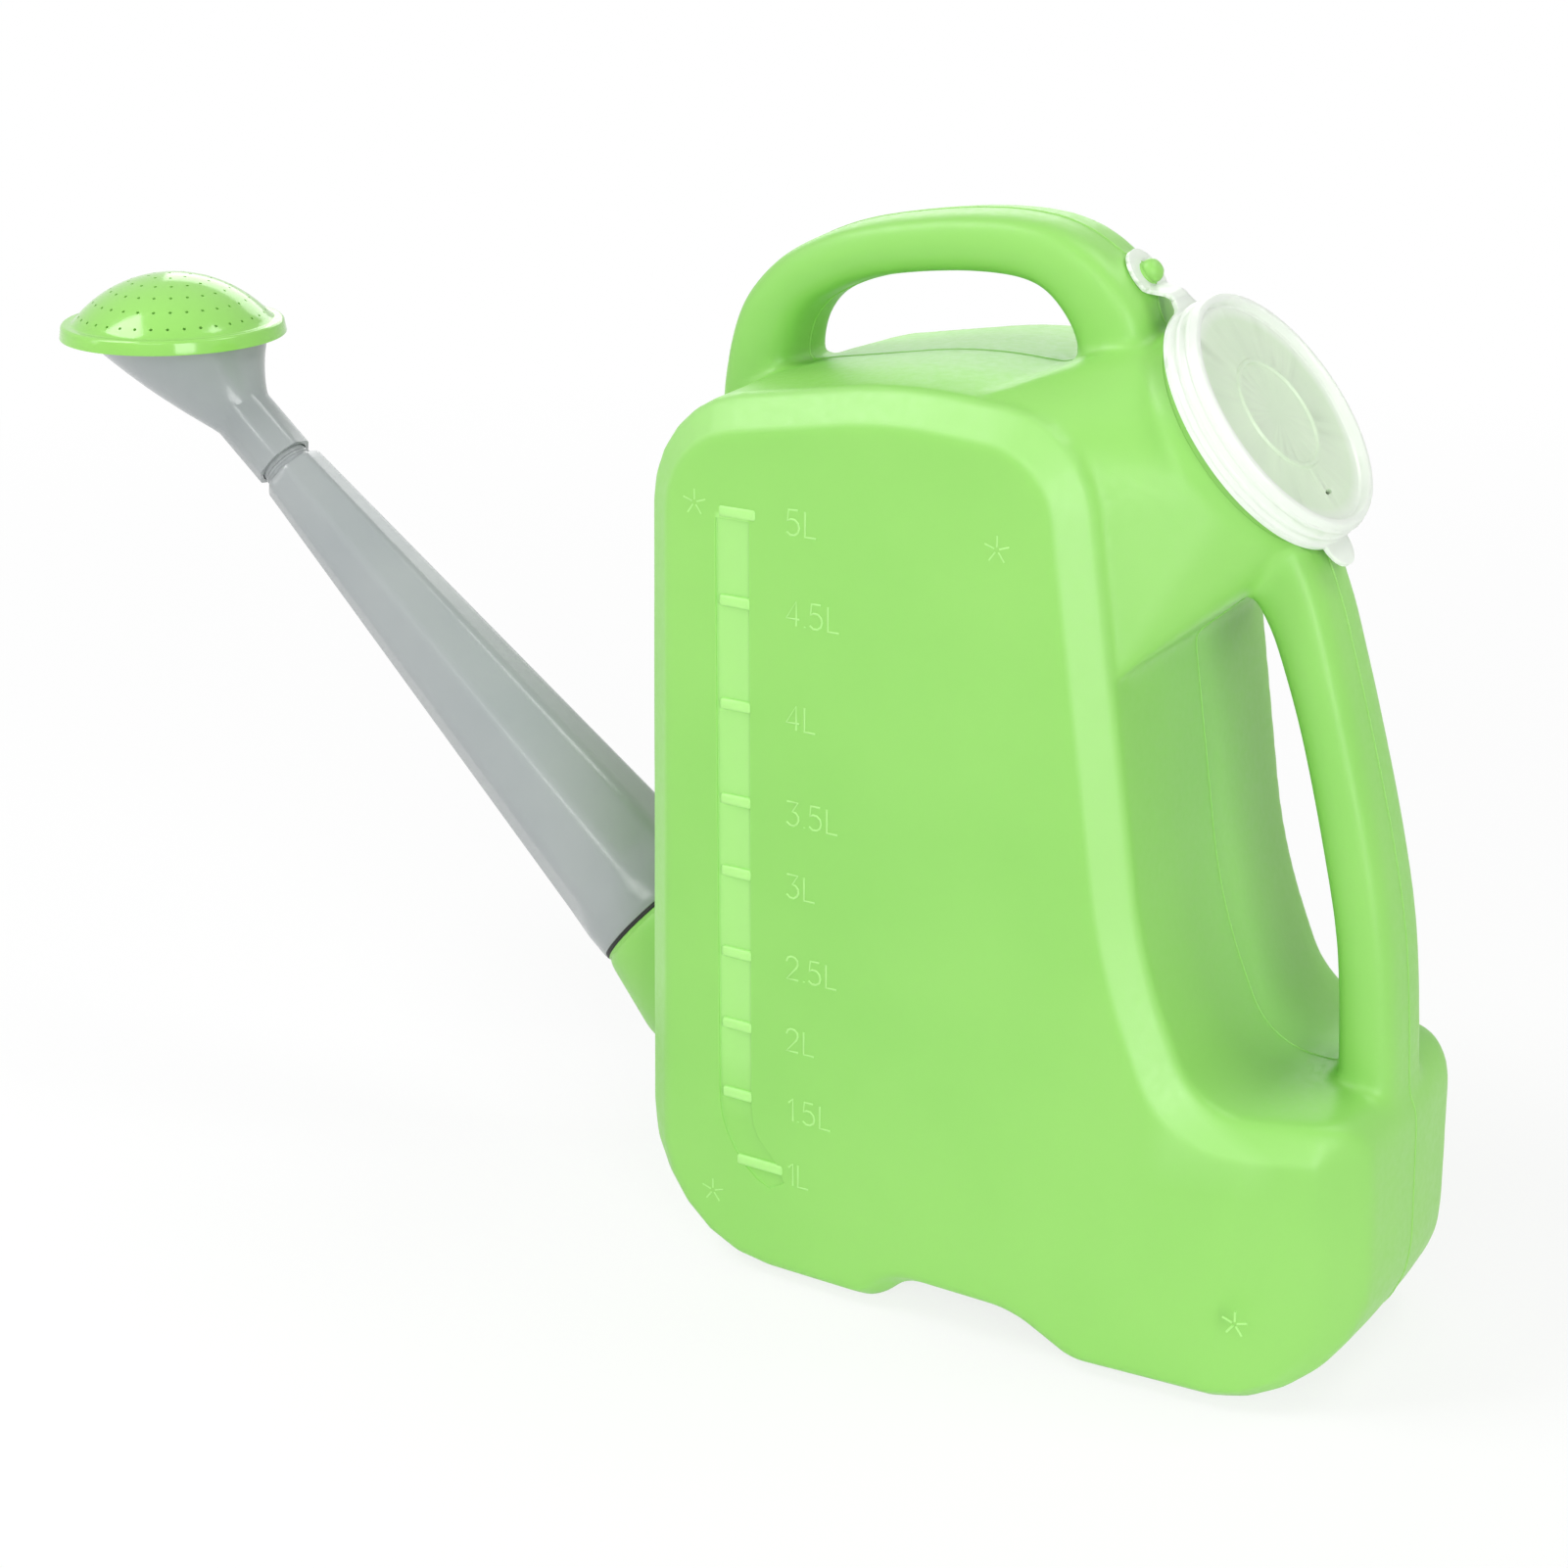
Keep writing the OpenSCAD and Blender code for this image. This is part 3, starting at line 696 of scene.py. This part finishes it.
def make_neck_and_spigot():
    """The lip of the neck, the threaded spigot on the stub and the peg, all crisp where the skin is soft."""
    neck = turned("neck_lip", [
        (33, -6), (35.6, -6), (35.6, 3.4), (35.9, 4.0), (35.8, 5.0), (35.2, 5.7), (33.6, 5.7), (33, 5.1),
        (33, -6),
    ])
    set_down(smooth(soften(neck, 0.3)), neck_place)
    spigot = turned("spigot", [
        (17.6, -4), (24.3, -4), (24.3, -1.2), (20.2, -1.2), (20.2, 12.2), (19.4, 13), (17.6, 13),
        (17.6, -4),
    ])
    set_down(smooth(soften(spigot, 0.25)), spout_place)
    helix = []
    for step in range(109):
        turn = step / 48
        angle = 2 * math.pi * turn
        helix.append((20.2 * math.cos(angle), 20.2 * math.sin(angle), 0.8 + 4.4 * turn))
    thread = set_down(rods("spigot_thread", [helix], 0.85), spout_place)
    peg = turned("tether_peg", [
        (0, -3), (3, -3), (3, 1.5), (3.35, 1.8), (3.5, 2.6), (3.2, 3.8), (2.4, 4.8), (1.2, 5.3), (0, 5.4),
    ], 48)
    set_down(smooth(soften(peg, 0.3), 60), neck_place @ Matrix.Translation((EYE_X, 0, -EYE_DROP)))
    return [neck, spigot, thread, peg]


# ---- the lid and its tether ----
def make_lid():
    """The ribbed lid with its sunk dish, pull tongue, half of the strap and a vent."""
    lid = turned("lid_moulding", [
        (36.4, 0), (39.0, 0), (39.0, 1.3), (38.2, 1.5), (37.9, 3.0), (38.3, 3.4), (38.3, 4.2),
        (37.8, 4.6), (37.7, 6.3), (38.0, 6.7), (38.0, 7.4), (37.5, 7.8), (37.3, 8.9), (36.8, 9.7),
        (36.0, 10.0), (35.2, 9.9), (34.6, 9.3), (34.3, 7.7), (33.6, 7.15), (17.5, 7.1), (17.1, 7.75),
        (16.0, 7.75), (15.6, 7.1), (0, 7.1), (0, 5.7), (35.0, 5.7), (35.7, 8.6), (36.4, 8.6), (36.4, 0),
    ])
    tongue = turned("pull_tongue", [(0, 0.02), (7.4, 0.02), (7.4, FLANGE_T), (0, FLANGE_T)], 64)
    set_down(tongue, Matrix.Translation((38.2, 0, 0)))
    combined(tongue, block("inner_half", (25, -9, -1), (36.9, 9, 3)), "DIFFERENCE")
    combined(lid, tongue, "UNION")
    strap = [(HINGE_X, -4.6), (-39.4, -5.8), (-37.8, -8.2), (-37.8, 8.2), (-39.4, 5.8), (HINGE_X, 4.6)]
    combined(lid, plate("strap", strap, 0.02, FLANGE_T, 0.0), "UNION")
    vent = turned("vent", [(0, 4), (2.0, 4), (2.0, 9), (0, 9)], 32)
    set_down(vent, Matrix.Translation((25.6, 0, 0)) @ Matrix.Diagonal((0.36, 1, 1, 1)))
    combined(lid, vent, "DIFFERENCE")
    soften(lid, 0.22, 35, 2)
    return set_down(smooth(lid), neck_place)


def make_tether():
    """The strap that ramps down from the hinge to the eye on the peg, its sides drawn in between them."""
    bpy.ops.mesh.primitive_grid_add(x_subdivisions=64, y_subdivisions=16, size=2)
    tether = bpy.context.active_object
    tether.name = "tether_moulding"
    eye_r = 8.0
    far, leave = EYE_X - eye_r, EYE_X + 4.6
    leave_half = math.sqrt(eye_r ** 2 - (leave - EYE_X) ** 2)
    for vertex in tether.data.vertices:
        x = far + (HINGE_X - far) * (vertex.co.x + 1) / 2
        if x < leave:
            half = math.sqrt(max(0, eye_r ** 2 - (x - EYE_X) ** 2))
        else:
            along = (x - leave) / (HINGE_X - leave)
            half = leave_half - 1.94 * along - 2.4 * along * (1 - along)
        rise = min(1, max(0, (x + 49.0) / 7.0))
        rise = rise * rise * (3 - 2 * rise)
        vertex.co = (x, vertex.co.y * max(half, 0.05), -EYE_DROP + EYE_DROP * rise)
    finish_with(tether, "SOLIDIFY", thickness=1.3, offset=1)
    hole = turned("hole", [(0, -6), (3.05, -6), (3.05, 0), (0, 0)], 48)
    combined(tether, set_down(hole, Matrix.Translation((EYE_X, 0, 0))), "DIFFERENCE")
    soften(tether, 0.25, 40, 2)
    return set_down(smooth(tether, 50), neck_place)


# ---- the spout ----
def eight_sided(radius, angle):
    """How far an eight-sided outline reaches at an angle, its rounded ridges where the thread leaves them."""
    ridge = RIDGE_SHARE * radius
    off = (angle + FACET_TURN + math.pi / 8) % (math.pi / 4) - math.pi / 8
    centre = radius - ridge / math.cos(math.pi / 8)
    edge = math.atan2(ridge * math.sin(math.pi / 8), centre + ridge * math.cos(math.pi / 8))
    if abs(off) < edge:
        return centre * math.cos(off) + math.sqrt(ridge ** 2 - (centre * math.sin(off)) ** 2)
    return radius * math.cos(math.pi / 8) / math.cos(math.pi / 8 - abs(off))


def outer_radius(z):
    """The spout's radius over its ridges: a straight collar, then a taper to the tip."""
    collar_l = 17
    if z < collar_l:
        return SPOUT_BASE_R
    return SPOUT_BASE_R + (SPOUT_TIP_R - SPOUT_BASE_R) * (z - collar_l) / (SPOUT_L - collar_l)


def make_spout():
    """A turned tube, round at its collar and tip, with its taper pressed in to eight sides."""
    heights = [0, 3, 6, 8, 10, 12, 14, 16, 18, 20, 23, 27] + list(range(35, 196, 10)) + [SPOUT_L - 1.2]
    profile = [(outer_radius(z), z) for z in heights]
    profile += [(SPOUT_TIP_R - 0.5, SPOUT_L), (TIP_R, SPOUT_L), (TIP_R, SPOUT_L + 1.6)]
    profile += [(TIP_R + 0.3, SPOUT_L + 2), (TIP_R + 0.3, SPOUT_L + 2.6), (TIP_R, SPOUT_L + 3)]
    profile += [(TIP_R, SPOUT_L + TIP_L - 1), (TIP_R - 0.5, SPOUT_L + TIP_L), (6.8, SPOUT_L + TIP_L)]
    profile += [(6.8, SPOUT_L - 6), (20.0, 16), (21.9, 14), (21.9, 0), (SPOUT_BASE_R, 0)]
    spout = turned("spout_moulding", profile, 160)
    for vertex in spout.data.vertices:
        x, y, z = vertex.co
        reach = math.hypot(x, y)
        if 4 < z < SPOUT_L + 0.1 and reach > outer_radius(z) - 0.7 and reach > TIP_R + 0.5:
            share = min(1, max(0, (z - 7) / 13))
            share = share * share * (3 - 2 * share)
            full = eight_sided(reach, math.atan2(y, x))
            grow = 1 + share * (full / reach - 1)
            vertex.co = (x * grow, y * grow, z)
    soften(spout, 0.35, 40, 2)
    return set_down(smooth(spout), spout_place)


def make_seal():
    """The flat ring squeezed between the stub's shoulder and the spout."""
    seal = turned("seal_ring", [
        (21.7, -1.2), (24.4, -1.2), (24.6, -0.6), (24.4, 0), (21.7, 0), (21.7, -1.2),
    ])
    return set_down(smooth(seal, 60), spout_place)


# ---- the rose ----
def make_funnel():
    """Circles that turn from the spout's axis to upright, bridged, over an eight-sided collar."""
    mouth_r = 31.2
    foot = Vector(SPOUT_FOOT) + spout_axis * (SPOUT_L + TIP_L + 5)
    top = rose_centre + Vector((2, 0, 0))
    spout_lean = math.radians(SPOUT_RISE - 90)
    count = 14
    rings = [(foot - spout_axis * 3, 9.6, spout_lean)]
    for step in range(count + 1):
        t = step / count
        radius = 10.6 + (mouth_r - 10.6) * t ** 1.15
        rings.append((foot + (top - foot) * t, radius, spout_lean * (1 - t)))
    rings.append((top + Vector((0, 0, 3.4)), mouth_r, 0))

    def circle(centre, radius, lean):
        bpy.ops.mesh.primitive_circle_add(
            vertices=96, radius=radius, location=centre, rotation=(0, lean, 0),
        )

    circle(*rings[0])
    funnel = bpy.context.active_object
    funnel.name = "funnel_moulding"
    bpy.ops.object.transform_apply(location=True, rotation=True, scale=True)
    bpy.ops.object.mode_set(mode="EDIT")
    for ring in rings[1:]:
        circle(*ring)
    bpy.ops.mesh.select_all(action="SELECT")
    bpy.ops.mesh.bridge_edge_loops()
    bpy.ops.mesh.select_all(action="SELECT")
    bpy.ops.mesh.normals_make_consistent(inside=False)
    bpy.ops.object.mode_set(mode="OBJECT")
    finish_with(funnel, "SOLIDIFY", thickness=1.7, offset=-1)

    local = Matrix.Translation(SPOUT_FOOT) @ Matrix.Rotation(spout_lean, 4, "Y")
    low, high = SPOUT_L + 4.5, SPOUT_L + TIP_L + 5.5
    collar = turned("collar", [(8.95, low), (10.7, low), (10.7, high), (8.95, high), (8.95, low)], 96)
    for vertex in collar.data.vertices:
        x, y, z = vertex.co
        reach = math.hypot(x, y)
        if reach > 10:
            grow = eight_sided(reach + 0.35, math.atan2(y, x)) / reach
            vertex.co = (x * grow, y * grow, z)
    set_down(collar, local)
    combined(funnel, collar, "UNION")
    soften(funnel, 0.3, 32, 2)
    set_down(funnel, can_place)
    return smooth(funnel, 30)


def arc(radius, top, reach, steps):
    """A dome's profile from its edge to its top, about a centre one radius under the top."""
    points = []
    for i in range(steps + 1):
        angle = reach * (1 - i / steps)
        points.append((radius * math.sin(angle), top - radius + radius * math.cos(angle)))
    return points


def make_rose():
    """A domed face on a rim that clips round the funnel, drilled in rings."""
    wall = 1.6
    sphere = (DOME_R ** 2 + DOME_H ** 2) / (2 * DOME_H)
    reach = math.asin(DOME_R / sphere)
    base = RIM_H + 0.4
    steps = 26
    dome = arc(sphere, base + DOME_H, reach, steps)
    inner = arc(sphere - wall, base + DOME_H - wall, reach, steps)[:0:-1]
    profile = [(ROSE_R - wall, 0), (ROSE_R, 0), (ROSE_R - 0.7, RIM_H - 0.4), (ROSE_R - 1.5, RIM_H + 0.3)]
    profile += [(DOME_R + 0.6, base - 0.3)] + dome + inner
    profile += [(DOME_R - wall, RIM_H - wall), (ROSE_R - wall, RIM_H - wall), (ROSE_R - wall, 0)]
    rose = turned("rose_moulding", profile, 144)
    soften(rose, 0.3, 28, 3)
    drills = []
    for ring in range(HOLE_RINGS):
        lean = Matrix.Rotation(HOLE_PITCH * ring / sphere, 4, "Y")
        holes = max(1, round(2 * math.pi * sphere * math.sin(HOLE_PITCH * ring / sphere) / HOLE_GAP))
        low, high = sphere - 4, sphere + 3
        for i in range(holes):
            drill = turned("drill", [(0, low), (HOLE_R, low), (HOLE_R, high), (0, high)], 12)
            spin = Matrix.Rotation(math.radians(360 * i / holes), 4, "Z")
            set_down(drill, Matrix.Translation((0, 0, base + DOME_H - sphere)) @ spin @ lean)
            drills.append(drill)
    activate(drills[0])
    for drill in drills:
        drill.select_set(True)
    bpy.ops.object.join()
    combined(rose, bpy.context.active_object, "DIFFERENCE")
    return set_down(smooth(rose, 25), rose_place)


# ---- everything in its place ----
studio()
shell, pale, glossy = shell_plastic(), mark_plastic(), rose_plastic()
grey, milky, rubber = spout_plastic(), lid_plastic(), seal_rubber()


def fit(obj, material, body):
    """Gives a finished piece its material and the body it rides."""
    obj.data.materials.clear()
    obj.data.materials.append(material)
    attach(obj, body)


body, seam = make_body()
marks, ridges, stars = make_scale(body)
smooth(body, 40)
for piece in [body, seam] + make_neck_and_spigot():
    fit(piece, shell, "can")
for piece in (marks, ridges, stars):
    fit(piece, pale, "can")
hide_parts("can_body")

lid = make_lid()
fit(lid, milky, "lid")
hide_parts("lid")
tether = make_tether()
fit(tether, milky, "can")
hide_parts("lid_tether")

seal = make_seal()
fit(seal, rubber, "seal")
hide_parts("spout_seal")
spout = make_spout()
fit(spout, grey, "spout")
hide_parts("spout_tube")
funnel = make_funnel()
fit(funnel, grey, "rose")
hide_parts("rose_funnel")
rose = make_rose()
fit(rose, glossy, "rose")
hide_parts("rose_face")
